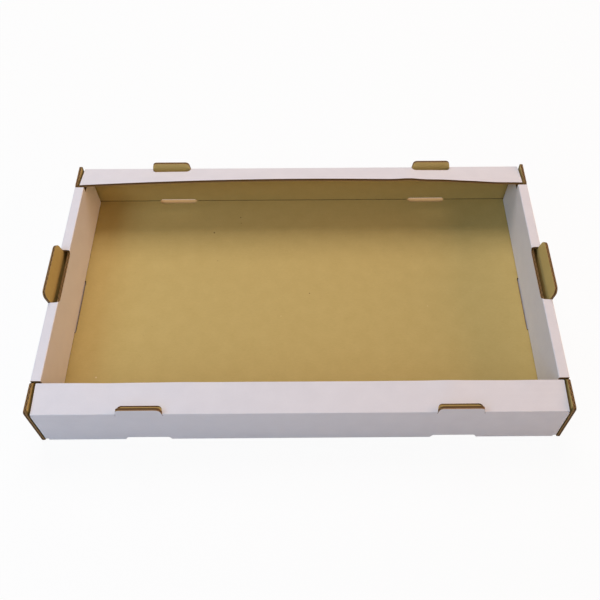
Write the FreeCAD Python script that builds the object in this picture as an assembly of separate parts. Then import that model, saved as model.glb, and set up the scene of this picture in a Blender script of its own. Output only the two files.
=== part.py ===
import FreeCAD, Part
import math
import os
from FreeCAD import Vector

# Stackable tray box, folded from one die-cut sheet of corrugated board.
# Millimetres. +X runs along the long side, +Y to the back, +Z up.
# The origin is on the underside, in the middle of the footprint.

# The sheet
board = 3.0                 # thickness of the board
crease_radius = 0.5         # inside every fold, where the board is pressed together
edge_radius = 1.0           # outside every fold, where the liner is drawn tight
lay_gap = 0.25              # between panels that lie against each other
cut_gap = 0.35              # each side of a cut through the sheet

# The tray over its outer faces
length = 530.0              # over the side walls
depth = 325.0               # over the front and back walls
side_height = 62.5          # to the top of the side rims
end_drop = 4.5              # front and back walls end this much lower

# Hollow side walls: outer wall, rim and inner wall
flap_play = 1.5             # free space of a corner flap inside the hollow wall
inner_wall_lean = 1.6       # degrees: its foot stands further into the tray
rim_gap = 1.1               # between the end of a rim and the flange beside it
ear_radius = 2.8            # top corners of a side wall beyond the rim

# Front and back walls
flange_depth = 33.5         # from the outer face of the wall to the flange's free edge
flange_end_gap = 2.0        # between the end of a flange and the side wall
front_lift = 2.5            # the front flange springs up by this at its free edge
back_lift = 5.8             # the back flange does so at its ends
back_bow = 6.0              # and its middle rises by this much more
bow_stations = 9            # cross-sections along the bowed flange
corner_flap_length = 100.0  # from the crease of the corner
corner_gap = 0.8            # between a corner flap and the outer side wall

# Stacking tabs of the front and back walls
end_tab_spacing = 310.6     # between the middles of the two tabs of one wall
end_tab_base = 46.0
end_tab_height = 12.4       # along the tab, from the fold
end_tab_taper = 2.0         # each end, from the base to the top
end_tab_radius = 4.5
end_tab_lean = 4.0          # degrees outwards

# Stacking tabs of the side walls
side_tab_base = 70.0
side_tab_height = 17.0
side_tab_taper = 0.8
side_tab_radius = 7.0
side_tab_lean = 12.0
side_hole_radius = 4.8      # lower corners of the hole that the tab leaves

# Slots along the bottom that take the tabs of the tray below
slot_play = 1.0             # each end, longer than the tab
slot_height = 5.5           # up the wall
slot_reach = 4.4            # across the base, past the inside of the front and back walls
slot_taper = 3.0            # each end, from the crease to the far edge
slot_radius = 2.0
side_slot_reach = 1.0       # past the tray side of the inner wall's foot

# Lock tab at the foot of an inner wall, held in the side slot
lock_tab_play = 1.5         # each end, shorter than the slot
lock_tab_rise = 0.5         # its lower edge stays above the underside

# What follows from the sizes above
fold_reach = crease_radius + board
fold_length = 2 * (fold_reach - edge_radius) + edge_radius * math.pi / 2
half_length = length / 2
half_depth = depth / 2
end_height = side_height - end_drop
rim_width = 3 * board + flap_play
inner_wall_x = half_length - rim_width
inner_lean = math.radians(inner_wall_lean)
inner_foot_x = inner_wall_x - (side_height - board) * math.tan(inner_lean)
inner_fold_reach = fold_reach * math.tan((math.pi / 2 - inner_lean) / 2)
rim_run = rim_width - fold_reach - inner_fold_reach
flap_outer_x = half_length - board - corner_gap
flange_end_x = half_length - board - flange_end_gap
flange_edge_y = half_depth - flange_depth
rim_end_y = flange_edge_y - rim_gap
end_wall_inside_y = half_depth - board
overshoot = 2.0             # cutters run past the faces that they cut

X = Vector(1, 0, 0)
Y = Vector(0, 1, 0)
Z = Vector(0, 0, 1)


def placed(shape, origin, across, up):
    """Move a shape drawn in the XY plane so that its x runs across and its y runs up."""
    out = across.cross(up)
    shape.transformShape(FreeCAD.Matrix(across.x, up.x, out.x, origin.x,
                                        across.y, up.y, out.y, origin.y,
                                        across.z, up.z, out.z, origin.z,
                                        0, 0, 0, 1))
    return shape


def rounded_plate(origin, across, up, corners, thickness):
    """A plate whose outline has corners (u, v, radius), extruded along across x up."""
    edges = []
    for i, (u, v, radius) in enumerate(corners):
        here = Vector(u, v, 0)
        before = Vector(*corners[i - 1][:2], 0)
        after = Vector(*corners[(i + 1) % len(corners)][:2], 0)
        to_before = (before - here).normalize()
        to_after = (after - here).normalize()
        half_angle = to_before.getAngle(to_after) / 2
        setback = radius / math.tan(half_angle)
        start = here + to_before * setback
        if i == 0:
            first_start = start
        else:
            edges.append(Part.LineSegment(last_end, start))
        last_end = here + to_after * setback
        if radius > 0:
            bisector = (to_before + to_after).normalize()
            middle = here + bisector * (radius / math.sin(half_angle) - radius)
            edges.append(Part.Arc(start, middle, last_end))
    edges.append(Part.LineSegment(last_end, first_start))
    face = Part.Face(Part.Wire([edge.toShape() for edge in edges]))
    return placed(face.extrude(Vector(0, 0, thickness)), origin, across, up)


def tongue(base, height, taper, radius, below=0.0):
    """Corners of a tab or slot: a base on v = 0, narrowing to a rounded far edge."""
    half = base / 2
    spread = taper / height * below
    return [(-half - spread, -below, 0),
            (half + spread, -below, 0),
            (half - taper, height, radius),
            (-half + taper, height, radius)]


def folded_section(origin, across, up, start, heading, steps):
    """Cross-section of the folded sheet, as a wire.

    The path follows the outer liner from start, and the board lies to its left. A step
    is ("run", length) or ("fold", degrees), and a fold turns to the left.
    """
    angle = math.radians(heading)
    here = Vector(start[0], start[1], 0)
    outer = []
    inner = []
    for kind, amount in steps:
        ahead = Vector(math.cos(angle), math.sin(angle), 0)
        left = Vector(-ahead.y, ahead.x, 0)
        if kind == "run":
            there = here + ahead * amount
            outer.append(Part.LineSegment(here, there))
            inner.append(Part.LineSegment(here + left * board, there + left * board))
        else:
            turn = math.radians(amount)
            angle += turn
            onwards = Vector(math.cos(angle), math.sin(angle), 0)
            corner = here + ahead * (fold_reach * math.tan(turn / 2))
            there = corner + onwards * (fold_reach * math.tan(turn / 2))
            inwards = (onwards - ahead).normalize()
            centre = corner + inwards * (fold_reach / math.cos(turn / 2))
            tight = edge_radius * math.tan(turn / 2)
            middle = corner + inwards * (edge_radius / math.cos(turn / 2) - edge_radius)
            outer.append(Part.LineSegment(here, corner - ahead * tight))
            outer.append(Part.Arc(corner - ahead * tight, middle, corner + onwards * tight))
            outer.append(Part.LineSegment(corner + onwards * tight, there))
            inner.append(Part.Arc(here + left * board, centre - inwards * crease_radius,
                                  there + Vector(-onwards.y, onwards.x, 0) * board))
        here = there
    far_end = Part.LineSegment(outer[-1].EndPoint, inner[-1].EndPoint)
    near_end = Part.LineSegment(inner[0].StartPoint, outer[0].StartPoint)
    edges = outer + [far_end] + inner[::-1] + [near_end]
    return placed(Part.Wire([edge.toShape() for edge in edges]), origin, across, up)


def base_panel():
    """The flat bottom, out to the start of the four bottom folds."""
    panel = Part.makeBox(length - 2 * fold_reach, depth - 2 * fold_reach, board)
    panel.translate(Vector(fold_reach - half_length, fold_reach - half_depth, 0))
    return panel


def standing_tab(origin, across, base, height, taper, radius, lean):
    """A tab left standing in the plane of a wall, leaning outwards from the fold."""
    outwards = across.cross(Z)
    lean_angle = math.radians(lean)
    mitre = board * math.tan(lean_angle / 2)
    top_out = Vector(math.sin(lean_angle), math.cos(lean_angle), 0) * height
    top_in = top_out + Vector(-math.cos(lean_angle), math.sin(lean_angle), 0) * board
    profile = Part.makePolygon([Vector(0, -board, 0), Vector(0, 0, 0), top_out, top_in,
                                Vector(-board, mitre, 0), Vector(-board, -board, 0),
                                Vector(0, -board, 0)])
    leaning = Part.Face(profile).extrude(Z * (2 * base))
    leaning = placed(leaning, origin + across * base, outwards, Z)
    outline = rounded_plate(origin - outwards * (2 * board), across, Z,
                            tongue(base, top_in.y, taper, radius, board), height + 3 * board)
    return leaning.common(outline)


def outer_side_wall():
    """Bottom fold and outer wall of the right side, with the ears beyond the rim."""
    fold = folded_section(Vector(0, -half_depth, 0), X, Z, (half_length - fold_reach, 0), 0,
                          [("fold", 90)])
    fold = Part.Face(fold).extrude(Y * depth)
    fold_top = side_height - fold_reach
    wall = rounded_plate(Vector(half_length - board, 0, 0), Y, Z,
                         [(-half_depth, fold_reach, 0), (half_depth, fold_reach, 0),
                          (half_depth, side_height, ear_radius),
                          (flange_edge_y, side_height, ear_radius),
                          (flange_edge_y, fold_top, 0), (-flange_edge_y, fold_top, 0),
                          (-flange_edge_y, side_height, ear_radius),
                          (-half_depth, side_height, ear_radius)], board)
    return fold.fuse(wall)


def inner_wall_plate(half, top, bottom):
    """A stretch of the leaning inner wall between two heights."""
    up = Vector(math.sin(inner_lean), 0, math.cos(inner_lean))
    high = (top - side_height) / up.z
    low = (bottom - side_height) / up.z
    return rounded_plate(Vector(inner_wall_x, 0, side_height), Y, up,
                         [(-half, low, 0), (half, low, 0), (half, high, 0), (-half, high, 0)],
                         board)


def rim_and_inner_wall():
    """Top folds, rim and inner wall of the right side, down to the lock tab."""
    foot = board + lay_gap
    wall_run = (side_height - foot) / math.cos(inner_lean) - inner_fold_reach
    steps = [("fold", 90), ("run", rim_run), ("fold", 90 - inner_wall_lean), ("run", wall_run)]
    section = folded_section(Vector(0, -rim_end_y, 0), X, Z,
                             (half_length, side_height - fold_reach), 90, steps)
    rolled = Part.Face(section).extrude(Y * (2 * rim_end_y))
    # Under the flanges the inner wall goes on, cut down so that they clear it.
    shelf = end_height - board - lay_gap
    under_flanges = inner_wall_plate(end_wall_inside_y - lay_gap, shelf, foot)
    lock_half = side_tab_base / 2 + slot_play - lock_tab_play
    lock_tab = inner_wall_plate(lock_half, foot + board, lock_tab_rise)
    return rolled.fuse([under_flanges, lock_tab])


def side_hole():
    """What the side tab leaves open: across the rim and a little down the inner wall."""
    half = side_tab_base / 2 + cut_gap
    fold_top = side_height - fold_reach
    down = side_tab_height - 2 * fold_length - rim_run
    low = fold_top - down
    over_rim = Part.makeBox(rim_width + overshoot, 2 * half, side_tab_height)
    over_rim.translate(Vector(inner_wall_x + fold_reach, -half, fold_top))
    high = side_height + side_tab_height
    through_wall = rounded_plate(Vector(inner_wall_x - overshoot, 0, 0), Y, Z,
                                 [(-half, low, side_hole_radius), (half, low, side_hole_radius),
                                  (half, high, 0), (-half, high, 0)], fold_reach + overshoot)
    return over_rim.fuse(through_wall)


def side_slot():
    """Slot along the bottom fold of the right side, from the base up the outer wall."""
    half = side_tab_base / 2 + slot_play
    inner_edge = inner_foot_x - side_slot_reach
    across_base = rounded_plate(Vector(0, 0, -overshoot), X, Y,
                                [(inner_edge, -half, slot_radius),
                                 (half_length + overshoot, -half, 0),
                                 (half_length + overshoot, half, 0),
                                 (inner_edge, half, slot_radius)], fold_reach + overshoot)
    up_wall = rounded_plate(Vector(half_length - fold_reach, 0, 0), Y, Z,
                            tongue(2 * half, slot_height, slot_taper, slot_radius, overshoot),
                            fold_reach + overshoot)
    return across_base.fuse(up_wall)


def side():
    """The right side: outer wall, rim, inner wall and standing tab."""
    outer = outer_side_wall().cut(side_slot())
    rolled = rim_and_inner_wall().cut(side_hole())
    tab = standing_tab(Vector(half_length, 0, side_height - fold_reach), Y, side_tab_base,
                       side_tab_height, side_tab_taper, side_tab_radius, side_tab_lean)
    return outer.fuse([rolled, tab])


def flange_section(x, lift):
    """Top fold and flange of the front wall at x, with the free edge lifted."""
    run = flange_depth - fold_reach
    tilt = math.degrees(math.asin(lift / run))
    return folded_section(Vector(x, 0, 0), Y * -1, Z, (half_depth, end_height - fold_reach), 90,
                          [("fold", 90 - tilt), ("run", run)])


def flange(lift, bow):
    """Top flange of the front wall, sprung up by lift, and by bow more in its middle."""
    if bow == 0:
        section = flange_section(-flange_end_x, lift)
        return Part.Face(section).extrude(X * (2 * flange_end_x))
    sections = []
    for i in range(bow_stations):
        share = 2 * i / (bow_stations - 1) - 1
        sections.append(flange_section(share * flange_end_x, lift + bow * (1 - share ** 2)))
    return Part.makeLoft(sections, True, False)


def corner_flap():
    """Corner fold and flap at the right end of the front wall, inside the hollow side."""
    crease_x = flap_outer_x - fold_reach
    section = folded_section(Vector(0, 0, fold_reach), X, Y, (crease_x, -half_depth), 0,
                             [("fold", 90), ("run", corner_flap_length)])
    # Its top edge stays under the flange, which reaches over it.
    height = end_height - 2 * fold_reach - lay_gap
    return Part.Face(section).extrude(Z * height)


def end_slot(x):
    """Slot across the bottom fold of the front wall, in the wall and in the base."""
    base = end_tab_base + 2 * slot_play
    up_wall = rounded_plate(Vector(x, fold_reach - half_depth, 0), X, Z,
                            tongue(base, slot_height, slot_taper, slot_radius, overshoot),
                            fold_reach + overshoot)
    reach = board + slot_reach
    across_base = rounded_plate(Vector(x, -half_depth, -overshoot), X, Y,
                                tongue(base, reach, slot_taper, slot_radius, overshoot),
                                fold_reach + overshoot)
    return up_wall.fuse(across_base)


def end_hole(x, rise):
    """What a front tab leaves open: the top fold and part of the flange."""
    reach = fold_reach + end_tab_height - fold_length
    base = end_tab_base + 2 * cut_gap
    return rounded_plate(Vector(x, -half_depth, end_height - fold_reach), X, Y,
                         tongue(base, reach, end_tab_taper, end_tab_radius, overshoot),
                         fold_reach + rise + overshoot)


def end_wall(lift, bow):
    """The front wall: bottom fold, wall, corner flaps, flange and two standing tabs."""
    crease_x = flap_outer_x - fold_reach
    wall_run = end_height - 2 * fold_reach
    section = folded_section(Vector(-crease_x, 0, 0), Y * -1, Z, (half_depth - fold_reach, 0), 0,
                             [("fold", 90), ("run", wall_run)])
    wall = Part.Face(section).extrude(X * (2 * crease_x))
    top = flange(lift, bow)
    tabs = []
    for x in (-end_tab_spacing / 2, end_tab_spacing / 2):
        wall = wall.cut(end_slot(x))
        top = top.cut(end_hole(x, lift + bow))
        tabs.append(standing_tab(Vector(x, -half_depth, end_height - fold_reach), X,
                                 end_tab_base, end_tab_height, end_tab_taper, end_tab_radius,
                                 end_tab_lean))
    flap = corner_flap()
    flaps = [flap, flap.mirror(Vector(0, 0, 0), X)]
    return wall.fuse([top] + tabs + flaps)


def slotted_base():
    """The base panel with its side slots and its front and back slots."""
    panel = base_panel().cut(side_slot())
    panel = panel.cut(side_slot().mirror(Vector(0, 0, 0), X))
    for x in (-end_tab_spacing / 2, end_tab_spacing / 2):
        panel = panel.cut(end_slot(x))
        panel = panel.cut(end_slot(x).mirror(Vector(0, 0, 0), Y))
    return panel


def tray():
    """The whole folded sheet as one solid."""
    right = side()
    left = right.mirror(Vector(0, 0, 0), X)
    front = end_wall(front_lift, 0)
    back = end_wall(back_lift, back_bow).mirror(Vector(0, 0, 0), Y)
    return slotted_base().fuse([right, left, front, back]).removeSplitter()


os.makedirs("parts", exist_ok=True)
shape = tray()
solids = shape.Solids
print("tray: valid", shape.isValid(), "solids", len(solids), "volume %.0f mm3" % shape.Volume)
box = shape.BoundBox
print("box %.2f..%.2f  %.2f..%.2f  %.2f..%.2f" % (box.XMin, box.XMax, box.YMin, box.YMax,
                                                box.ZMin, box.ZMax))
solids[0].exportStep("parts/tray.step")
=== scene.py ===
# %% [markdown]
# # A folded cardboard tray
#
# The object is a stackable tray, folded from one die-cut sheet of corrugated board. It has no
# glue and no tape: the side walls roll over into hollow walls, and their feet lock into slots.
#
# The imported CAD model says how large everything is. This script dresses it: it cuts the same
# blank flat, folds it point by point with numpy, and gives the paper its three finishes.

# %% Load the frame
import math
import bpy
import numpy as np
from mathutils import Matrix, Vector
from mathutils.geometry import delaunay_2d_cdt


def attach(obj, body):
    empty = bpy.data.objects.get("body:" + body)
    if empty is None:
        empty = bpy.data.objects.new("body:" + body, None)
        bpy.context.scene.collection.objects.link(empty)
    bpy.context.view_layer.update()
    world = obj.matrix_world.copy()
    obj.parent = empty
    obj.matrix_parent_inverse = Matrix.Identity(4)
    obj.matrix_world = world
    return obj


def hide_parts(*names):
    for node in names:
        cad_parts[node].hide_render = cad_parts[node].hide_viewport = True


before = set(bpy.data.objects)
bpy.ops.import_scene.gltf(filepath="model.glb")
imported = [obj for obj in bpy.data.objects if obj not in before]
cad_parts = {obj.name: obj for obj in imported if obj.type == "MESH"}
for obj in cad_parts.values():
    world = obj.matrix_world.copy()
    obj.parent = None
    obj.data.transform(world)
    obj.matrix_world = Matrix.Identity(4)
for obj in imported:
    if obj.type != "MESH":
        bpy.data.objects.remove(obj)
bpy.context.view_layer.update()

# %% [markdown]
# ## The sizes of the sheet
#
# Everything on the blank is in millimetres, as on a packaging drawing, and becomes metres only
# when the mesh is made. Lengths are measured on the outer liner, because that paper does not
# stretch when the board is folded: the inner liner crumples instead.

# %% Sizes in millimetres
MM = 0.001
board = 3.0
crease_radius = 0.5
edge_radius = 1.0
fold_reach = crease_radius + board
lay_gap = 0.25
cut_gap = 0.35

length = 530.0
depth = 325.0
side_height = 62.5
end_height = 58.0
rim_width = 10.5
rim_gap = 1.1
lean = math.radians(1.6)
ear_radius = 2.8
flange_depth = 33.5
flange_half = length / 2 - board - 2.4
corner_crease = length / 2 - board - 1.2 - fold_reach
corner_flap_length = 100.0
slot_height = 5.5

end_tab = {"base": 46.0, "height": 12.4, "taper": 2.0, "radius": 4.5}
side_tab = {"base": 70.0, "height": 17.0, "taper": 0.8, "radius": 7.0}
end_tab_x = 155.3

# %% [markdown]
# ## Stations along the sheet
#
# A strip of board is followed from the edge of the base outwards. A fold uses up the length of
# its outer liner: two short flats and the small arc between them. The stations are the
# distances at which one stretch ends and the next one starts.

# %% Stations of the side and end strips


def fold_length(turn):
    """Outer liner in a fold: twice (reach - radius) x tan(turn / 2), and radius x turn."""
    return 2 * (fold_reach - edge_radius) * math.tan(turn / 2) + edge_radius * turn


square = math.pi / 2
full_fold = fold_length(square)
last_turn = square - lean
last_reach = fold_reach * math.tan(last_turn / 2)
base_x = length / 2 - fold_reach
base_y = depth / 2 - fold_reach
foot = board + lay_gap
lock_rise = 0.5
shelf = end_height - board - lay_gap

side_top = full_fold + side_height - 2 * fold_reach
rim_start = side_top + full_fold
rim_end = rim_start + rim_width - fold_reach - last_reach
inner_wall = rim_end + fold_length(last_turn)
inner_shelf = inner_wall + (side_height - shelf) / math.cos(lean) - last_reach
foot_gap = 0.5
inner_foot = inner_wall + (side_height - foot - foot_gap) / math.cos(lean) - last_reach
lock_foot = inner_foot + (foot + foot_gap - lock_rise) / math.cos(lean)
foot_x = length / 2 - rim_width - (side_height - board) * math.tan(lean)

end_top = full_fold + end_height - 2 * fold_reach
flange_start = end_top + full_fold
flange_end = flange_start + flange_depth - fold_reach
flap_end = corner_crease + full_fold + corner_flap_length
flap_top = end_top - lay_gap
ear_y = depth / 2 - flange_depth
rim_half = ear_y - rim_gap
inner_half = depth / 2 - board - 2.6
print("blank", round(2 * (base_x + lock_foot)), "by", round(2 * (base_y + flange_end)), "mm")

# %% [markdown]
# ## Outlines with rounded corners
#
# A cutting rule bends round a corner on an arc. Every outline of the blank is therefore a short
# list of corners with a radius each, and one function puts the arcs in.

# %% Rounded outline


def rounded(corners, steps=7):
    """Points of a closed outline whose corners (u, v, radius) are arcs.

    The arc's centre lies on the corner's bisector, radius / sin(half angle) away, and its ends
    touch both sides radius / tan(half angle) from the corner.
    """
    points = []
    places = np.array([corner[:2] for corner in corners], float)
    for i, (u, v, radius) in enumerate(corners):
        here = places[i]
        if radius == 0:
            points.append(here[None])
            continue
        before = places[i - 1] - here
        after = places[(i + 1) % len(places)] - here
        before /= np.linalg.norm(before)
        after /= np.linalg.norm(after)
        half = math.acos(np.clip(before @ after, -1, 1)) / 2
        start = here + before * radius / math.tan(half)
        end = here + after * radius / math.tan(half)
        centre = here + (before + after) / np.linalg.norm(before + after) * radius / math.sin(half)
        share = np.linspace(0, 1, steps)[:, None]
        chord = (start - centre) * (1 - share) + (end - centre) * share
        points.append(centre + chord / np.linalg.norm(chord, axis=1)[:, None] * radius)
    return np.concatenate(points)


def tongue(tab, extra=0.0, shorter=0.0):
    """Corners of a tab or its hole: a base on v = 0, narrowing to a rounded far edge.

    A hole is wider than its tab by extra at each end. Its base line then has the tab's own
    two corners as well, because that is where the tab's root joins the wall.
    """
    half = tab["base"] / 2
    top = half + extra - tab["taper"]
    height = tab["height"] - shorter
    root = [(-half, 0, 0), (half, 0, 0)]
    if extra > 0:
        root = [(-half - extra, 0, 0)] + root + [(half + extra, 0, 0)]
    return root + [(top, height, tab["radius"]), (-top, height, tab["radius"])]


# %% [markdown]
# ## The blank
#
# One quarter of the blank is enough, because the die is symmetric: the quarter runs from the
# lock tab of a side wall, round the inner wall, the rim and the ear, past the corner gap, round
# the corner flap, and ends in the middle of the flange. It is mirrored three times.

# %% Outline and holes of the blank


def quarter():
    """Corners of the outline in the quarter with u and v above 0, from the side to the end."""
    side = [(base_x + lock_foot, 34.5, 0),
            (base_x + inner_foot, 34.5, 0),
            (base_x + inner_foot, inner_half, 0),
            (base_x + inner_shelf, inner_half, 0),
            (base_x + inner_shelf, rim_half, 0),
            (base_x + side_top, rim_half, 0),
            (base_x + side_top, ear_y, 0),
            (base_x + side_top + fold_reach, ear_y, ear_radius),
            (base_x + side_top + fold_reach, depth / 2, ear_radius),
            (base_x, depth / 2, 0),
            (base_x, base_y, 0)]
    end = [(corner_crease, base_y, 0),
           (corner_crease, base_y + full_fold, 0),
           (flap_end, base_y + full_fold, 6),
           (flap_end, base_y + flap_top, 6),
           (corner_crease, base_y + flap_top, 0),
           (corner_crease, base_y + end_top, 0),
           (flange_half, base_y + end_top, 0),
           (flange_half, base_y + flange_end, 0.8)]
    return side + end


def mirrored(corners, across, up):
    """The corners with their signs changed, in the order that keeps the outline going round."""
    turned = [(u * across, v * up, radius) for u, v, radius in corners]
    return turned if across * up > 0 else turned[::-1]


outline = []
for across, up in ((1, 1), (-1, 1), (-1, -1), (1, -1)):
    outline += mirrored(quarter(), across, up)

cuts = []
for side in (-1, 1):
    slot_in = foot_x - 1.5
    slot_up = base_x + full_fold + slot_height - fold_reach
    slot = [(slot_in, -36, 2), (base_x, -36, 0), (slot_up, -33, 2),
            (slot_up, 33, 2), (base_x, 36, 0), (slot_in, 36, 2)]
    cuts.append(mirrored(slot, side, 1))
    hole = [(base_x + side_top + v, u, radius) for u, v, radius in tongue(side_tab, cut_gap)]
    cuts.append(mirrored(hole, side, 1))
    for x in (-end_tab_x, end_tab_x):
        crease = base_y + full_fold / 2
        slot_up = base_y + full_fold + slot_height - fold_reach
        slot = [(x - 21, base_y - 3.9, 2), (x + 21, base_y - 3.9, 2), (x + 24, crease, 0),
                (x + 21, slot_up, 2), (x - 21, slot_up, 2), (x - 24, crease, 0)]
        cuts.append(mirrored(slot, 1, side))
        hole = [(x + u, base_y + end_top + v, radius) for u, v, radius in tongue(end_tab, cut_gap)]
        cuts.append(mirrored(hole, 1, side))
print("outline corners", len(outline), "cuts", len(cuts))

# %% [markdown]
# ## Cutting the sheet into small faces
#
# A flat panel needs few faces, and a fold needs narrow ones. So the sheet gets a net of lines:
# close together over each fold, a finger's width apart elsewhere. Blender's constrained
# Delaunay routine joins the outline, the cuts and the net into triangles, and the triangles
# that lie outside the board are thrown away with the even-odd rule.

# %% Net of lines
run_share = (fold_reach - edge_radius) / full_fold


def spread(stretches, wide=10.0):
    """Distances of the net lines: close over each fold's arc, about wide apart on the runs."""
    lines = []
    for start, end, is_fold in stretches:
        if is_fold:
            arc = np.linspace(run_share, 1 - run_share, 5)
            lines.append(start + (end - start) * np.concatenate([[0, run_share / 2], arc,
                                                                 [1 - run_share / 2, 1]]))
        else:
            lines.append(np.linspace(start, end, max(1, round((end - start) / wide)) + 1))
    return np.unique(np.round(np.concatenate(lines), 6))


side_lines = base_x + spread([(0, full_fold, True), (full_fold, side_top, False),
                              (side_top, rim_start, True), (rim_start, rim_end, False),
                              (rim_end, inner_wall, True), (inner_wall, inner_shelf, False),
                              (inner_shelf, inner_foot, False), (inner_foot, lock_foot, False)])
end_lines = base_y + spread([(0, full_fold, True), (full_fold, end_top, False),
                             (end_top, flange_start, True), (flange_start, flange_end, False)],
                            wide=5.0)
flap_lines = corner_crease + spread([(0, full_fold, True), (full_fold, flap_end - corner_crease,
                                                            False)])
along_x = np.linspace(-flange_half, flange_half, 65)
along_y = np.linspace(-base_y, base_y, 31)
print("net lines", len(side_lines), len(end_lines), len(flap_lines))


def net():
    """Pairs of end points of every net line, as one array of shape (lines, 2, 2)."""
    past = 0.4
    far_x = base_x + lock_foot + past
    far_y = base_y + flange_end + past
    lines = [((u, -far_y), (u, far_y)) for u in along_x]
    lines += [((-far_x, v), (far_x, v)) for v in along_y]
    for sign in (-1, 1):
        lines += [((sign * u, -depth / 2 - past), (sign * u, depth / 2 + past))
                  for u in side_lines]
        lines += [((-flange_half - past, sign * v), (flange_half + past, sign * v))
                  for v in end_lines]
        for up in (-1, 1):
            lines += [((sign * u, up * (base_y + full_fold - past)),
                       (sign * u, up * (base_y + flap_top + past))) for u in flap_lines]
    return np.array(lines)


# %% Triangles of a sheet with holes


def inside(points, loops):
    """Even-odd rule: a point is inside if a ray to the right crosses the outlines oddly."""
    crossings = np.zeros(len(points), int)
    for loop in loops:
        a = loop
        b = np.roll(loop, -1, axis=0)
        above_a = a[None, :, 1] > points[:, None, 1]
        above_b = b[None, :, 1] > points[:, None, 1]
        rise = np.where(b[:, 1] == a[:, 1], 1.0, b[:, 1] - a[:, 1])
        share = (points[:, None, 1] - a[None, :, 1]) / rise
        at = a[None, :, 0] + share * (b[:, 0] - a[:, 0])
        crossings += ((above_a != above_b) & (at > points[:, None, 0])).sum(axis=1)
    return crossings % 2 == 1


def cut_sheet(loops, lines):
    """Triangulates the loops with the lines drawn in. Returns points and triangles."""
    points = []
    edges = []
    for loop in loops:
        first = len(points)
        points += [Vector(point) for point in loop.tolist()]
        edges += [(first + i, first + (i + 1) % len(loop)) for i in range(len(loop))]
    for start, end in lines.tolist():
        edges.append((len(points), len(points) + 1))
        points += [Vector(start), Vector(end)]
    found, _, faces, _, _, _ = delaunay_2d_cdt(points, edges, [], 0, 1e-4)
    flat = np.array([(point.x, point.y) for point in found])
    triangles = np.array([face for face in faces if len(face) == 3])
    corner = flat[triangles]
    one = corner[:, 1] - corner[:, 0]
    two = corner[:, 2] - corner[:, 0]
    area = one[:, 0] * two[:, 1] - one[:, 1] * two[:, 0]
    triangles[area < 0] = triangles[area < 0][:, ::-1]
    kept = inside(corner.mean(axis=1), loops) & (np.abs(area) > 1e-7)
    return flat, triangles[kept]


sheet_points, sheet_faces = cut_sheet([rounded(outline)] + [rounded(cut) for cut in cuts], net())
print("sheet", len(sheet_points), "points", len(sheet_faces), "triangles")

# %% [markdown]
# ## Folding
#
# A strip of board is bent in one direction only, so a fold is plane geometry: a point is given
# by how far it lies along the outer liner, and by which of the two liners it belongs to. In a
# crease the outer liner is drawn tight round a small radius, and the inner one is pressed into
# a corner of its own. One function bends a single fold, and one follows the whole strip.

# %% Fold functions


def crease(turn, blank_length=None):
    """A fold as (length on the blank, turn, outer radius, reach to the inner centre)."""
    return (blank_length or fold_length(turn), turn, edge_radius, fold_reach)


def bend(distance, fold, inner):
    """Ahead, left and turned in a fold to the left, distance along its length on the blank.

    The inner liner goes round a circle of radius reach - board, whose centre lies reach to the
    left. The outer one goes straight on for (reach - edge) x tan(turn / 2), round a circle of
    radius edge to the left, and straight on again. Both use the same share of the fold.
    """
    blank_length, turn, edge, reach = fold
    share = distance / blank_length
    if inner:
        turned = turn * share
        return (reach - board) * np.sin(turned), reach - (reach - board) * np.cos(turned), turned
    straight = (reach - edge) * np.tan(turn / 2)
    path = share * (2 * straight + edge * turn)
    turned = np.clip((path - straight) / edge, np.minimum(turn, 0), np.maximum(turn, 0))
    past = np.maximum(path - straight - edge * turn, 0)
    ahead = np.minimum(path, straight) + edge * np.sin(turned) + past * np.cos(turn)
    return ahead, edge * (1 - np.cos(turned)) + past * np.sin(turn), turned


def follow(along, inner, start, heading, strip):
    """Across and up of points on one liner, along the outer liner of a folded strip.

    The strip lists its stretches: a run as (length,) and a fold as crease gives it. Each
    stretch is worked out in its own directions, turned by the course, and set down where the
    stretch before it ends, which for a fold is reach x (sin(turn), 1 - cos(turn)) further on.
    """
    course = np.full_like(along, math.radians(heading))
    here_x = np.full_like(along, start[0])
    here_y = np.full_like(along, start[1])
    across, up = here_x, here_y
    begin = 0.0
    for stretch in strip:
        distance = along - begin
        if len(stretch) == 1:
            ahead, left = distance, board * inner
            end_ahead, end_left, turn = stretch[0], 0.0, 0.0
        else:
            ahead, left, _ = bend(distance, stretch, inner)
            turn, reach = stretch[1], stretch[3]
            end_ahead, end_left = reach * np.sin(turn), reach * (1 - np.cos(turn))
        cos, sin = np.cos(course), np.sin(course)
        across = np.where(distance >= 0, here_x + cos * ahead - sin * left, across)
        up = np.where(distance >= 0, here_y + sin * ahead + cos * left, up)
        here_x = here_x + cos * end_ahead - sin * end_left
        here_y = here_y + sin * end_ahead + cos * end_left
        course = course + turn
        begin += stretch[0]
    return across, up


# %% [markdown]
# ## Where the board is not straight
#
# The photograph shows the back flange bowed up between the corners that hold it, with small
# buckles beside its tab holes, and the front flange nearly flat with a faint wave. The lift of
# the free edge is a function of x, and the fold at the wall simply opens by that much. The
# front wall bulges by less than a millimetre, because its flange pushes it outwards.

# %% Lift of the two flanges


def bells(x, shapes):
    """A sum of bell curves, each height x exp(-((x - centre) / width) ^ 2)."""
    return sum(height * np.exp(-((x - centre) / width) ** 2) for centre, height, width in shapes)


def back_lift(x):
    """Free edge of the back flange: an arch of 6 mm, and buckles beside the right hole."""
    arch = 5.8 + 6.0 * (1 - (x / flange_half) ** 2)
    return arch + bells(x, [(127, 1.3, 14), (163, 0.6, 18), (228, -0.8, 20)])


def front_lift(x):
    """Free edge of the front flange: it springs up most beside the two tab holes."""
    return 2.6 + bells(x, [(-190, -1.1, 18), (-115, 1.0, 20), (-52, 0.45, 34), (62, -0.3, 16),
                           (146, 1.6, 17), (205, -0.7, 16)])


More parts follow.
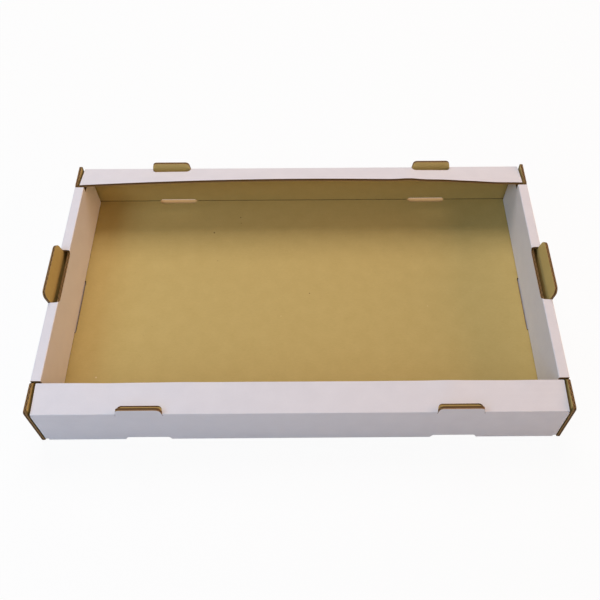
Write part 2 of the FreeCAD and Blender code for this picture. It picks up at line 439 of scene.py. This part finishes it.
def bulge(x, z):
    """How far the front wall stands out: most in its middle, and nothing along the bottom."""
    rise = np.clip(z / end_height, 0, 1)
    return 0.12 * (1 - (x / flange_half) ** 2) * rise * (2 - rise)


# %% [markdown]
# ## From the flat blank to the tray
#
# Each part of the blank is folded by the strip it belongs to. Because the blank does not overlap
# itself, the place of a point on it is enough to tell which strip that is: beyond the base in x
# it is a side, beyond it in y an end, and beyond the corner crease a corner flap.

# %% Fold the blank


def fold_side(u, v, inner):
    """Outer wall, rim and inner wall of a side. The ears beyond the rim stay upright."""
    along = np.abs(u) - base_x
    wall = (side_top - full_fold,)
    rolled = [crease(square), wall, crease(square), (rim_end - rim_start,), crease(last_turn),
              (lock_foot,)]
    across, up = follow(along, inner, (base_x, 0.0), 0, rolled)
    ear_across, ear_up = follow(along, inner, (base_x, 0.0), 0, [crease(square), (lock_foot,)])
    ear = (np.abs(v) > (ear_y + rim_half) / 2) & (along < (side_top + inner_shelf) / 2)
    across = np.where(ear, ear_across, across)
    up = np.where(ear, ear_up, up)
    return np.stack([np.sign(u) * across, v, up], axis=1)


def fold_end(u, v, inner):
    """Wall and top flange of an end. The top fold opens by the angle that lifts the flange."""
    lift = np.where(v > 0, back_lift(u), front_lift(u))
    tilt = np.arcsin(lift / (flange_end - flange_start))
    along = np.abs(v) - base_y
    strip = [crease(square), (end_top - full_fold,), crease(square - tilt, full_fold),
             (flange_end,)]
    across, up = follow(along, inner, (base_y, 0.0), 0, strip)
    across = across + np.where(v > 0, 0, bulge(u, up))
    return np.stack([u, np.sign(v) * across, up], axis=1)


def fold_corner(u, v, inner):
    """Corner flap: it turns into the hollow side wall about an upright fold."""
    along = np.abs(u) - corner_crease
    across, inwards = follow(along, inner, (corner_crease, -depth / 2), 0,
                             [crease(square), (flap_end,)])
    up = np.abs(v) - base_y - full_fold + fold_reach
    return np.stack([np.sign(u) * across, -np.sign(v) * inwards, up], axis=1)


def fold_blank(u, v, inner):
    """Every point of the blank, folded by the strip that it lies on."""
    flap = (np.abs(v) > base_y + full_fold - 1) & (np.abs(v) < base_y + end_top - lay_gap / 2)
    corner = (np.abs(u) > corner_crease) & flap
    side = (np.abs(u) > base_x) & ~corner
    place = np.stack([u, v, np.full_like(u, board * inner)], axis=1)
    place = np.where((np.abs(v) > base_y)[:, None], fold_end(u, v, inner), place)
    place = np.where(side[:, None], fold_side(u, v, inner), place)
    return np.where(corner[:, None], fold_corner(u, v, inner), place)


# %% [markdown]
# ### Normals from the fold itself
#
# Shading normals worked out from the faces would tilt a little where a large flat panel meets
# the first narrow face of a fold, and the panel would look dished. The fold is a function of the
# two coordinates of the blank, so its slopes give the exact normal: a tiny step along u, a tiny
# step along v, and the cross product of the two.

# %% Places and normals of both liners


def shape(flat, fold):
    """Places and outward normals of flat points on the outer and on the inner liner."""
    step = 0.04
    u, v = flat[:, 0], flat[:, 1]
    layers = []
    for inner in (0, 1):
        slope_u = fold(u + step, v, inner) - fold(u - step, v, inner)
        slope_v = fold(u, v + step, inner) - fold(u, v - step, inner)
        normal = np.cross(slope_u, slope_v) * (2 * inner - 1)
        normal /= np.linalg.norm(normal, axis=1)[:, None]
        layers.append((fold(u, v, inner), normal))
    return layers


patches = [(sheet_points, sheet_faces, shape(sheet_points, fold_blank))]

# %% [markdown]
# ## The standing tabs
#
# A tab was cut from the flange or the rim on three sides, and it stays in the plane of its wall
# when the sheet is folded. It is cut as a sheet of its own with the same net, follows its wall
# straight up past the fold, and leans outwards over the first few millimetres. Its root has the
# same points as the wall, so both can be joined there afterwards. No two lean quite alike.

# %% Tabs cut and folded on their own
lean_length = 3.0


def cut_tab(tab, centre, turned):
    """Points and triangles of one tab on the blank. turned swaps u and v for a side wall."""
    loop = rounded(tongue(tab, shorter=0.2)) + [centre, 0]
    half = tab["base"] / 2 + 1
    crosswise = np.array([[[u, -1], [u, tab["height"] + 1]] for u in
                          (along_y if turned else along_x) if abs(u - centre) < half])
    lengthwise = np.array([[[centre - half, v], [centre + half, v]] for v in
                           [0.75, 1.5, 2.25, 3.0, 6.0, 9.0]])
    flat, faces = cut_sheet([loop], np.concatenate([crosswise, lengthwise]))
    flat = flat + [0, base_x + side_top if turned else base_y + end_top]
    return (flat[:, ::-1], faces[:, ::-1]) if turned else (flat, faces)


def tab_fold(degrees, turned):
    """The fold map of a tab: up its wall, then outwards by its lean over lean_length."""
    edge = base_x if turned else base_y
    wall = (side_top if turned else end_top) - full_fold
    radius = -lean_length / math.radians(degrees)
    strip = [crease(square), (wall,), (lean_length, -math.radians(degrees), radius, radius),
             (lean_length * 9,)]

    def fold(u, v, inner):
        flat_out, beside = (u, v) if turned else (v, u)
        across, up = follow(np.abs(flat_out) - edge, inner, (edge, 0.0), 0, strip)
        if not turned:
            across = across + np.where(v > 0, 0, bulge(u, up))
        out = np.sign(flat_out) * across
        return np.stack([out, beside, up] if turned else [beside, out, up], axis=1)

    return fold


def add_tab(tab, centre, sign, degrees, turned):
    """Cuts one tab, sets it on its own side of the blank, and folds it."""
    flat, faces = cut_tab(tab, centre, turned)
    if sign < 0:
        flat = flat * ([-1, 1] if turned else [1, -1])
        faces = faces[:, ::-1]
    patches.append((flat, faces, shape(flat, tab_fold(degrees, turned))))


add_tab(end_tab, -end_tab_x, -1, 1.5, False)
add_tab(end_tab, end_tab_x, -1, 4.0, False)
add_tab(end_tab, -end_tab_x, 1, 3.5, False)
add_tab(end_tab, end_tab_x, 1, 4.0, False)
add_tab(side_tab, 0.0, -1, 12.0, True)
add_tab(side_tab, 0.0, 1, 11.5, True)
print("tabs", len(patches) - 1, "faces", sum(len(patch[1]) for patch in patches[1:]))

# %% [markdown]
# ## One closed sheet
#
# The patches are joined where their points meet on the blank. Then the board gets its thickness:
# the same triangles once on the outer liner and once on the inner liner, and a narrow face
# across the board along every edge that only one triangle uses. That edge is the die cut.

# %% Join the patches


def join(patches):
    """Joins points that lie together on the blank. Returns flat, layers and triangles."""
    flat = np.concatenate([patch[0] for patch in patches])
    layers = [[np.concatenate([patch[2][inner][part] for patch in patches]) for part in (0, 1)]
              for inner in (0, 1)]
    offsets = np.cumsum([0] + [len(patch[0]) for patch in patches[:-1]])
    faces = np.concatenate([patch[1] + offset for patch, offset in zip(patches, offsets)])
    key = np.round(flat / 0.002).astype(np.int64)
    _, first, same = np.unique(key, axis=0, return_index=True, return_inverse=True)
    faces = same.reshape(-1)[faces]
    used, compact = np.unique(faces, return_inverse=True)
    faces = compact.reshape(-1, 3)
    chosen = first[used]
    whole = (faces[:, 0] != faces[:, 1]) & (faces[:, 1] != faces[:, 2]) & (faces[:, 2] != faces[:, 0])
    layers = [[part[chosen] for part in layer] for layer in layers]
    return flat[chosen], layers[0], layers[1], faces[whole]


def cut_edges(faces):
    """Directed edges that only one triangle uses, with the board on their left."""
    edges = np.concatenate([faces[:, [0, 1]], faces[:, [1, 2]], faces[:, [2, 0]]])
    size = faces.max() + 1
    forward = edges[:, 0] * size + edges[:, 1]
    backward = edges[:, 1] * size + edges[:, 0]
    return edges[~np.isin(forward, backward)]


flat, outer, inner, faces = join(patches)
raw_edges = cut_edges(faces)
print("joined", len(flat), "points", len(faces), "triangles", len(raw_edges), "cut edges")

# %% [markdown]
# The mesh holds both liners and the cut edge. The blank's own coordinates are its UV map, in
# metres, so that a pattern follows the paper round every fold. The attribute deep is 0 on the
# outer liner and 1 on the inner one, so that it runs across the cut edge.

# %% Make the mesh


def make_tray(name):
    """Both liners and the cut edge as one mesh, with the normals that the fold map gave.

    Material 0 is the outer liner, 1 the inner liner and 2 the cut edge, whose faces point
    along the cross product of the edge and the way across the board.
    """
    count = len(flat)
    quads = np.stack([raw_edges[:, 0], raw_edges[:, 1], raw_edges[:, 1] + count,
                      raw_edges[:, 0] + count], axis=1)
    triangles = np.concatenate([faces[:, ::-1], faces + count])
    corners = np.concatenate([triangles.reshape(-1), quads.reshape(-1)])
    starts = np.concatenate([np.arange(len(triangles)) * 3,
                             len(triangles) * 3 + np.arange(len(quads)) * 4])
    mesh = bpy.data.meshes.new(name)
    mesh.vertices.add(2 * count)
    places = np.concatenate([outer[0], inner[0]])
    mesh.vertices.foreach_set("co", (places * MM).reshape(-1))
    mesh.loops.add(len(corners))
    mesh.loops.foreach_set("vertex_index", corners.astype(np.int32))
    mesh.polygons.add(len(starts))
    mesh.polygons.foreach_set("loop_start", starts.astype(np.int32))
    material = np.repeat([0, 1, 2], [len(faces), len(faces), len(quads)])
    mesh.polygons.foreach_set("material_index", material.astype(np.int32))
    mesh.polygons.foreach_set("use_smooth", np.ones(len(starts), bool))
    mesh.update(calc_edges=True)
    blank_map = mesh.uv_layers.new(name="blank")
    blank = np.concatenate([flat, flat]) * MM
    blank_map.data.foreach_set("uv", blank[corners].reshape(-1).astype(np.float32))
    deep = mesh.attributes.new("deep", "FLOAT", "POINT")
    deep.data.foreach_set("value", np.repeat([0.0, 1.0], count).astype(np.float32))
    facing = np.cross(outer[0][raw_edges[:, 1]] - outer[0][raw_edges[:, 0]],
                      inner[0][raw_edges[:, 0]] - outer[0][raw_edges[:, 0]])
    facing /= np.linalg.norm(facing, axis=1)[:, None]
    liners = np.concatenate([outer[1], inner[1]])[triangles.reshape(-1)]
    mesh.normals_split_custom_set(np.concatenate([liners, np.repeat(facing, 4, axis=0)]).tolist())
    return mesh


tray_mesh = make_tray("tray_sheet")
print("mesh valid:", not tray_mesh.validate(verbose=False), len(tray_mesh.polygons), "faces")
tray = bpy.data.objects.new("tray_sheet", tray_mesh)
bpy.context.scene.collection.objects.link(tray)
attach(tray, "root")
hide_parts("tray")

# %% [markdown]
# ## Materials
#
# Colours are written as they look on screen and turned to linear light by one function. One
# more function adds a node with its settings and its links, so that each material below reads
# as a list of what is done to the paper.

# %% Colour and node helpers


def linear(code):
    """sRGB hex colour to linear RGBA: c / 12.92 in the darks, ((c + 0.055) / 1.055) ^ 2.4."""
    parts = [int(code[i:i + 2], 16) / 255 for i in (1, 3, 5)]
    return [p / 12.92 if p <= 0.04045 else ((p + 0.055) / 1.055) ** 2.4 for p in parts] + [1.0]


def add(tree, kind, inputs=None, **settings):
    """Adds a node. An input is a value, another node's output, or the node itself."""
    made = tree.nodes.new("ShaderNode" + kind)
    for name, value in settings.items():
        setattr(made, name, value)
    for name, value in (inputs or {}).items():
        if isinstance(value, bpy.types.Node):
            value = value.outputs[0]
        if isinstance(value, bpy.types.NodeSocket):
            tree.links.new(value, made.inputs[name])
        else:
            made.inputs[name].default_value = value
    return made


def paper(name, colour, height_mm, roughness):
    """A matt paper surface: Principled shader with IOR 1.5, its colour and its relief."""
    material = bpy.data.materials.new(name)
    material.use_nodes = True
    tree = material.node_tree
    shader = tree.nodes["Principled BSDF"]
    shader.inputs["Roughness"].default_value = roughness
    shader.inputs["IOR"].default_value = 1.5
    shader.inputs["Specular IOR Level"].default_value = 0.3
    tree.links.new(colour(tree), shader.inputs["Base Color"])
    relief = add(tree, "Math", {0: height_mm(tree), 1: MM}, operation="MULTIPLY")
    bump = add(tree, "Bump", {"Height": relief, "Strength": 0.6, "Distance": 1.0})
    tree.links.new(bump.outputs[0], shader.inputs["Normal"])
    return material


# %% [markdown]
# ### White-top liner
#
# The outside is a thin bleached top ply over recycled fibre. It is matt, a little cloudy where
# the brown shows through, and it has the faint washboard of the flutes below, 6.3 mm apart.
# The flutes run along the long side, so the ridges count along the blank's v.

# %% White liner
FLUTE = 6.3


def washboard(tree):
    """A sine along the blank's v, one wave per flute, from -1 to 1."""
    blank = add(tree, "UVMap", uv_map="blank")
    parts = add(tree, "SeparateXYZ", {0: blank})
    turns = add(tree, "Math", {0: parts.outputs[1], 1: 2 * math.pi * 1000 / FLUTE},
                operation="MULTIPLY")
    return add(tree, "Math", {0: turns}, operation="SINE")


def fibres(tree, size_mm):
    """Fine noise on the blank, longer along the flutes: fibres lie that way in the paper."""
    blank = add(tree, "UVMap", uv_map="blank")
    drawn = add(tree, "Mapping", {"Vector": blank, "Scale": (0.4, 1.0, 1.0)})
    return add(tree, "TexNoise", {"Vector": drawn, "Scale": 1000 / size_mm, "Detail": 5.0,
                                  "Roughness": 0.7})


def liner_height(tree):
    """Relief in mm: the washboard of the flutes and the tooth of the paper."""
    waves = add(tree, "Math", {0: washboard(tree), 1: 0.018}, operation="MULTIPLY")
    tooth = add(tree, "Math", {0: fibres(tree, 1.0), 1: 0.03}, operation="MULTIPLY")
    return add(tree, "Math", {0: waves, 1: tooth}, operation="ADD")


def white_colour(tree):
    """Bleached ply: clouds 20 mm across, and 8% of a browner fibre that shows through."""
    blank = add(tree, "UVMap", uv_map="blank")
    clouds = add(tree, "TexNoise", {"Vector": blank, "Scale": 1000 / 20, "Detail": 4.0})
    ply = add(tree, "Mix", {0: clouds, 6: linear("#DFDEE3"), 7: linear("#EAE9ED")},
              data_type="RGBA")
    share = add(tree, "Math", {0: fibres(tree, 1.0), 1: 0.16}, operation="MULTIPLY")
    fibre = add(tree, "Mix", {0: share, 6: ply.outputs[2], 7: linear("#BDB4AA")},
                data_type="RGBA")
    return fibre.outputs[2]


# %% [markdown]
# ### Kraft liner
#
# The inside is unbleached brown paper. Recycled fibre makes it cloudy at the size of a
# fingertip, with long fibres that lie mostly along the machine direction, and dark shives.

# %% Kraft liner
SPECKS = [(-107.0, 107.0, 1.3, "#4A3216"), (-76.0, 131.0, 1.0, "#5A4022"),
          (-75.0, 122.0, 0.8, "#6A4E2A"), (9.0, 16.0, 0.9, "#5A4022"),
          (-100.0, 64.0, 0.7, "#7A6034"), (-23.3, -15.0, 0.8, "#DCCB98"),
          (143.6, -2.7, 0.8, "#DCCB98"), (-220.3, -92.1, 1.2, "#E0D0A8")]


def specks(tree, colour):
    """Single dark shives and pale fibres on the base, each a soft-edged disc, sizes in mm."""
    place = add(tree, "TexCoord").outputs["Object"]
    for x, y, radius, tone in SPECKS:
        apart = add(tree, "VectorMath", {0: place, 1: (x * MM, y * MM, board * MM)},
                    operation="DISTANCE").outputs["Value"]
        near = add(tree, "MapRange", {"Value": apart, "From Min": radius * MM * 0.5,
                                      "From Max": radius * MM, "To Min": 0.75, "To Max": 0.0})
        colour = add(tree, "Mix", {0: near, 6: colour, 7: linear(tone)},
                     data_type="RGBA").outputs[2]
    return colour


def painted_crease_shade(tree, colour):
    """Painted shade: darkens the liner along the bottom creases, where it is pressed into the corner
    and shade falls in the fold.

    On the blank a crease is the band full_fold wide whose middle lies full_fold / 2 past the
    base, so the distance from that middle says how deep in the crease a point is.
    """
    blank = add(tree, "UVMap", uv_map="blank")
    folded = add(tree, "VectorMath", {0: blank}, operation="ABSOLUTE")
    apart = add(tree, "VectorMath", {0: folded, 1: ((base_x + full_fold / 2) * MM,
                                                    (base_y + full_fold / 2) * MM, 0)},
                operation="SUBTRACT")
    distance = add(tree, "VectorMath", {0: apart}, operation="ABSOLUTE")
    parts = add(tree, "SeparateXYZ", {0: distance})
    nearest = add(tree, "Math", {0: parts.outputs[0], 1: parts.outputs[1]}, operation="MINIMUM")
    line = add(tree, "MapRange", {"Value": nearest, "From Min": full_fold * MM * 0.42,
                                  "From Max": full_fold * MM * 0.56, "To Min": 0.8,
                                  "To Max": 0.0})
    # painted shade: the dark brown #57471F in the creases stands in for the shade in the fold
    return add(tree, "Mix", {0: line, 6: colour, 7: linear("#57471F")},
               data_type="RGBA").outputs[2]


def kraft_colour(tree):
    """Unbleached recycled fibre: cloudy tan, streaks of darker fibre, a few dark shives, and painted
    shade in the bottom creases.
    """
    blank = add(tree, "UVMap", uv_map="blank")
    clouds = add(tree, "TexNoise", {"Vector": blank, "Scale": 1000 / 16, "Detail": 5.0})
    stock = add(tree, "Mix", {0: clouds, 6: linear("#C0A865"), 7: linear("#CDB673")},
                data_type="RGBA")
    share = add(tree, "Math", {0: fibres(tree, 1.6), 1: 0.32}, operation="MULTIPLY")
    streaks = add(tree, "Mix", {0: share, 6: stock.outputs[2], 7: linear("#957D42")},
                  data_type="RGBA")
    flecks = add(tree, "TexNoise", {"Vector": blank, "Scale": 1000 / 2.6, "Detail": 2.0})
    dark = add(tree, "MapRange", {"Value": flecks, "From Min": 0.71, "From Max": 0.78,
                                  "To Min": 0.0, "To Max": 0.3})
    shives = add(tree, "Mix", {0: dark, 6: streaks.outputs[2], 7: linear("#7C5F33")},
                 data_type="RGBA")
    return specks(tree, painted_crease_shade(tree, shives.outputs[2]))


# %% [markdown]
# ### Cut edge
#
# The die presses the board a little as it cuts, but the section still shows: a thin liner on
# each face, and the fluted medium that waves between them, with the hollows beside it painted
# dark as painted shade. Where the cut runs along the flutes, the medium is a straight line, and
# where it crosses them it is a wave. Both come from the same formula, because it only asks where
# the point is on the blank.

# %% Cut edge


def edge_paper(tree):
    """1 where the cut shows paper: the two liners, and the medium at 0.5 + 0.3 x sine."""
    deep = add(tree, "Attribute", attribute_name="deep").outputs["Fac"]
    middle = add(tree, "Math", {0: washboard(tree), 1: 0.3, 2: 0.5}, operation="MULTIPLY_ADD")
    beside = add(tree, "Math", {0: deep, 1: middle}, operation="SUBTRACT")
    off_medium = add(tree, "Math", {0: beside}, operation="ABSOLUTE")
    medium = add(tree, "MapRange", {"Value": off_medium, "From Min": 0.06, "From Max": 0.2,
                                    "To Min": 1.0, "To Max": 0.0})
    from_centre = add(tree, "Math", {0: deep, 1: 0.5}, operation="SUBTRACT")
    off_centre = add(tree, "Math", {0: from_centre}, operation="ABSOLUTE")
    liner = add(tree, "MapRange", {"Value": off_centre, "From Min": 0.34, "From Max": 0.42,
                                   "To Min": 0.0, "To Max": 1.0})
    return add(tree, "Math", {0: medium, 1: liner}, operation="MAXIMUM")


def edge_colour(tree):
    """Torn brown fibre on the paper; the hollows between get painted shade, dark brown."""
    blank = add(tree, "UVMap", uv_map="blank")
    torn = add(tree, "TexNoise", {"Vector": blank, "Scale": 1000 / 1.5, "Detail": 4.0})
    fibre = add(tree, "Mix", {0: torn, 6: linear("#86663D"), 7: linear("#A07E4E")},
                data_type="RGBA")
    # painted shade: the hollows between the paper are dark brown #543C20
    section = add(tree, "Mix", {0: edge_paper(tree), 6: linear("#543C20"), 7: fibre.outputs[2]},
                  data_type="RGBA")
    return section.outputs[2]


def edge_height(tree):
    """Relief in mm: the paper stands 0.3 mm above the hollows."""
    return add(tree, "Math", {0: edge_paper(tree), 1: 0.3}, operation="MULTIPLY")


tray_mesh.materials.append(paper("white_top_liner", white_colour, liner_height, 0.72))
tray_mesh.materials.append(paper("kraft_liner", kraft_colour, liner_height, 0.8))
tray_mesh.materials.append(paper("corrugated_cut_edge", edge_colour, edge_height, 0.9))
print("materials", [finish.name for finish in tray_mesh.materials])

# %% [markdown]
# ## Floor, light and camera
#
# The photograph has a plain white ground. To the rays that show a thing, straight from the camera
# or by way of a mirror or glass, the floor is nearly all white and keeps a little of the tray's
# shadow. For light that bounces it is pale grey paper, so that it gives the tray no more light
# than a real table would. Under the tray it is painted tan, a painted shade warmed as by light
# from the kraft, which the slots look onto. The painted shade fades out in a few millimetres
# behind the back wall, as a painted contact shadow at its foot.

# %% Floor


def shown(tree):
    """1 for camera, glossy and transmission rays, 0 for the rest."""
    rays = add(tree, "LightPath").outputs
    direct = add(tree, "Math", {0: rays["Is Camera Ray"], 1: rays["Is Glossy Ray"]},
                 operation="MAXIMUM")
    return add(tree, "Math", {0: direct, 1: rays["Is Transmission Ray"]}, operation="MAXIMUM")


def make_floor():
    """A large square just under the tray, mostly plain white to the camera."""
    size = 6.0
    # painted shade: a tan patch under the tray, which fades out behind the back wall as a painted
    # contact shadow
    painted_shade_middle = 0.0070
    painted_shade_x, painted_shade_y, faded_y = 0.263, 0.1565, 0.161
    white_share = 0.93
    mesh = bpy.data.meshes.new("floor")
    corners = [(-size, -size), (size, -size), (size, size), (-size, size)]
    mesh.from_pydata([(x, y, -0.0002) for x, y in corners], [], [(0, 1, 2, 3)])
    floor = bpy.data.objects.new("floor", mesh)
    bpy.context.scene.collection.objects.link(floor)
    material = bpy.data.materials.new("pale_floor")
    material.use_nodes = True
    tree = material.node_tree
    shader = tree.nodes["Principled BSDF"]
    shader.inputs["Roughness"].default_value = 0.9
    place = add(tree, "TexCoord").outputs["Object"]
    centred = add(tree, "VectorMath", {0: place, 1: (0, painted_shade_middle, 0)}, operation="SUBTRACT")
    folded = add(tree, "VectorMath", {0: centred}, operation="ABSOLUTE")
    parts = add(tree, "SeparateXYZ", {0: folded})
    past_x = add(tree, "Math", {0: parts.outputs[0], 1: painted_shade_x}, operation="GREATER_THAN")
    past_y = add(tree, "MapRange", {"Value": parts.outputs[1], "From Min": painted_shade_y,
                                    "From Max": faded_y, "To Min": 0.0, "To Max": 1.0})
    clear = add(tree, "Math", {0: past_x, 1: past_y}, operation="MAXIMUM")
    # painted shade: tan #C29F69 inside the patch under the tray, pale grey #E8E8E8 outside it
    tone = add(tree, "Mix", {0: clear, 6: linear("#C29F69"), 7: linear("#E8E8E8")},
               data_type="RGBA")
    tree.links.new(tone.outputs[2], shader.inputs["Base Color"])
    plain = add(tree, "Math", {0: shown(tree), 1: clear}, operation="MULTIPLY")
    share = add(tree, "Math", {0: plain, 1: white_share}, operation="MULTIPLY")
    white = add(tree, "Emission", {"Color": (1, 1, 1, 1), "Strength": 1.0})
    mixed = add(tree, "MixShader", {0: share, 1: shader, 2: white})
    tree.links.new(mixed.outputs[0], tree.nodes["Material Output"].inputs["Surface"])
    mesh.materials.append(material)


make_floor()

# %% [markdown]
# The light comes from five large soft sources. The main one stands behind and above the tray,
# which is why the outside of the front wall and the strip under the back wall are the darkest
# faces in the photograph. A warm one on the right and two cool ones on the left tint the two
# ends of the tray, and a weak white one in front fills the shade. The room adds very little.

# %% Light


def area_light(name, place, size, power, colour):
    """A square area light at place, turned to face the middle of the tray."""
    data = bpy.data.lights.new(name, "AREA")
    data.shape = "SQUARE"
    data.size = size
    data.energy = power
    data.color = linear(colour)[:3]
    lamp = bpy.data.objects.new(name, data)
    bpy.context.scene.collection.objects.link(lamp)
    turn = Vector(place).to_track_quat("Z", "Y").to_matrix().to_4x4()
    lamp.matrix_world = Matrix.Translation(place) @ turn


area_light("key_behind", (-0.15, 1.15, 1.75), 1.2, 26, "#FFF3F2")
area_light("warm_right", (1.6, -0.2, 0.7), 1.0, 12, "#FFC490")
area_light("cool_left", (-0.85, -0.4, 0.95), 0.5, 4.3, "#C8E6FF")
area_light("low_left", (-0.8, -0.85, 0.7), 0.5, 1.9, "#ADCBFF")
area_light("soft_front", (0.0, -1.5, 1.3), 1.2, 3.2, "#FFFFFF")

world = bpy.data.worlds.new("studio")
world.use_nodes = True
bpy.context.scene.world = world
sky = world.node_tree.nodes["Background"]
room_strength = 0.15
seen = shown(world.node_tree)
level = add(world.node_tree, "Math", {0: seen, 1: 1 - room_strength, 2: room_strength},
            operation="MULTIPLY_ADD")
world.node_tree.links.new(level.outputs[0], sky.inputs["Strength"])
room = add(world.node_tree, "Mix", {0: seen, 6: linear("#FFF3E5"), 7: (1, 1, 1, 1)},
           data_type="RGBA")
world.node_tree.links.new(room.outputs[2], sky.inputs["Color"])

# %% [markdown]
# The camera was found from the photograph: the corners of walls, flanges and base were marked,
# and the place, turn and focal length were fitted to them until they agreed to within a pixel.
# The picture's centre lies a little beside the lens axis, which the shift gives.

# %% Camera
camera_place = Vector((14.04, -478.93, 715.21)) * MM
camera_turn = Vector((0.9779, -0.0060, -0.0049))
focal_pixels = 751.31
axis_pixels = (316.11, 304.11)
image_pixels = 600

data = bpy.data.cameras.new("camera")
data.sensor_width = 36.0
data.lens = focal_pixels / image_pixels * data.sensor_width
data.shift_x = 0.5 - axis_pixels[0] / image_pixels
data.shift_y = axis_pixels[1] / image_pixels - 0.5
camera = bpy.data.objects.new("camera", data)
bpy.context.scene.collection.objects.link(camera)
level_view = Matrix(((1, 0, 0), (0, 0, -1), (0, 1, 0)))
turn = Matrix.Rotation(camera_turn.length, 3, camera_turn) @ level_view
facing = Matrix((turn[0], -turn[1], -turn[2])).transposed()
camera.matrix_world = Matrix.Translation(camera_place) @ facing.to_4x4()
bpy.context.scene.camera = camera
bpy.context.scene.view_settings.view_transform = "Standard"
